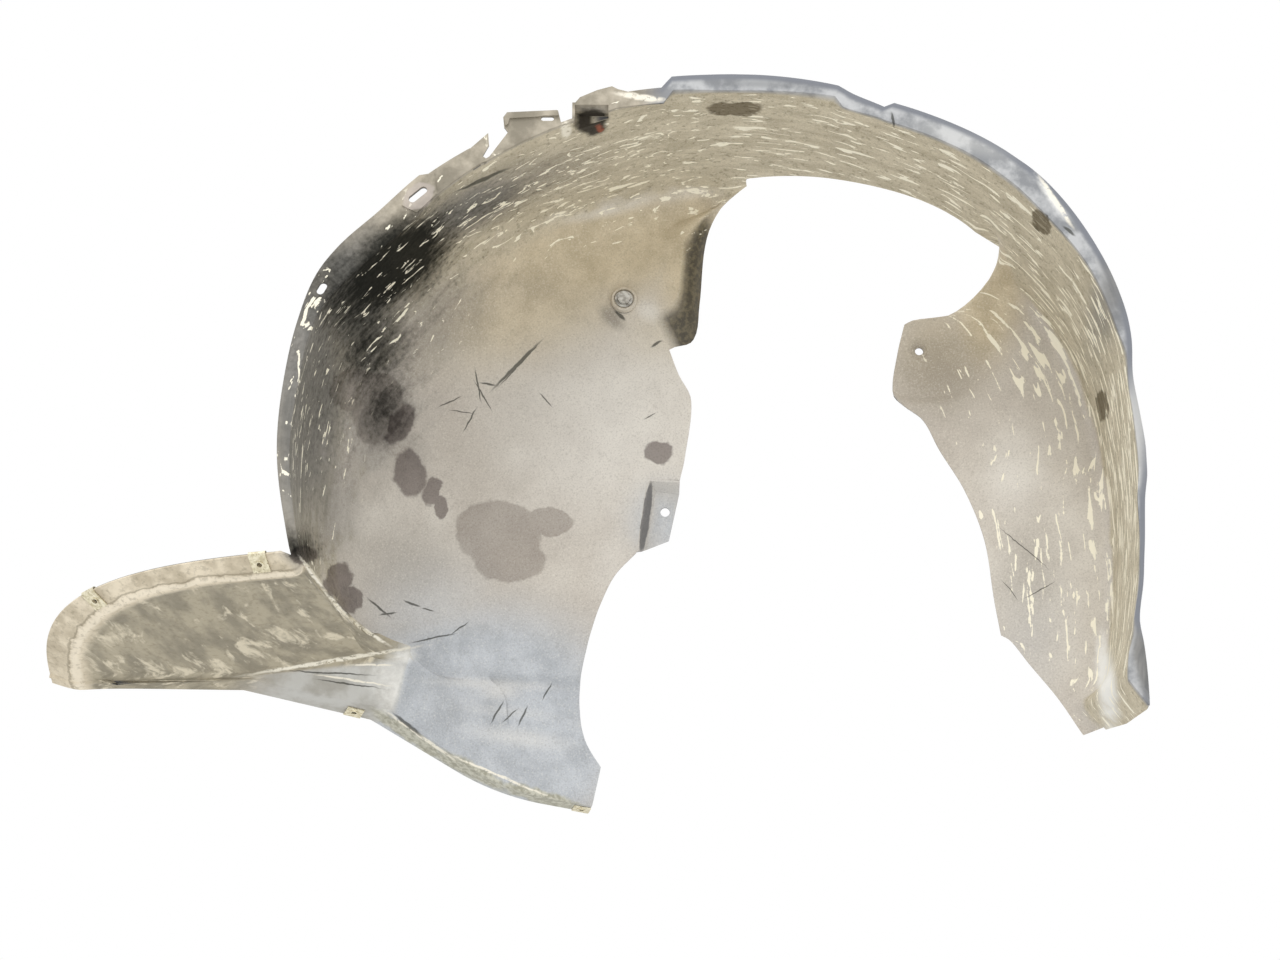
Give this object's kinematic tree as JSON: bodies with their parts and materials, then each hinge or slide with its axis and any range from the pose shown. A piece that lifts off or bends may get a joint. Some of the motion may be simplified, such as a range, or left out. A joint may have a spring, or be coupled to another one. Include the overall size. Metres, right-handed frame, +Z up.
{
  "type": "wheel arch liner",
  "caption": "Used front-left wheel arch liner of a car: one moulded plastic sheet with lip flange, bowl, tongue, four spring clips and a screw.",
  "frame": {"origin": "the wheel axis, in the plane of the lip flange that lies on the fender", "axes": "+X to the rear of the car, +Y inboard along the wheel axis, +Z up, as fitted on the left side of the car"},
  "size_m": [0.9945, 0.3099, 0.6199],
  "materials": {
    "moulding": "dirty matt",
    "clips": "zinc plated",
    "screw": "zinc plated"
  },
  "bodies": {
    "root": {"liner": "moulding", "tongue_clip_front": "clips", "tongue_clip_rear": "clips", "foot_clip_front": "clips", "foot_clip_rear": "clips", "bowl_screw": "screw"}
  },
  "joints": []
}
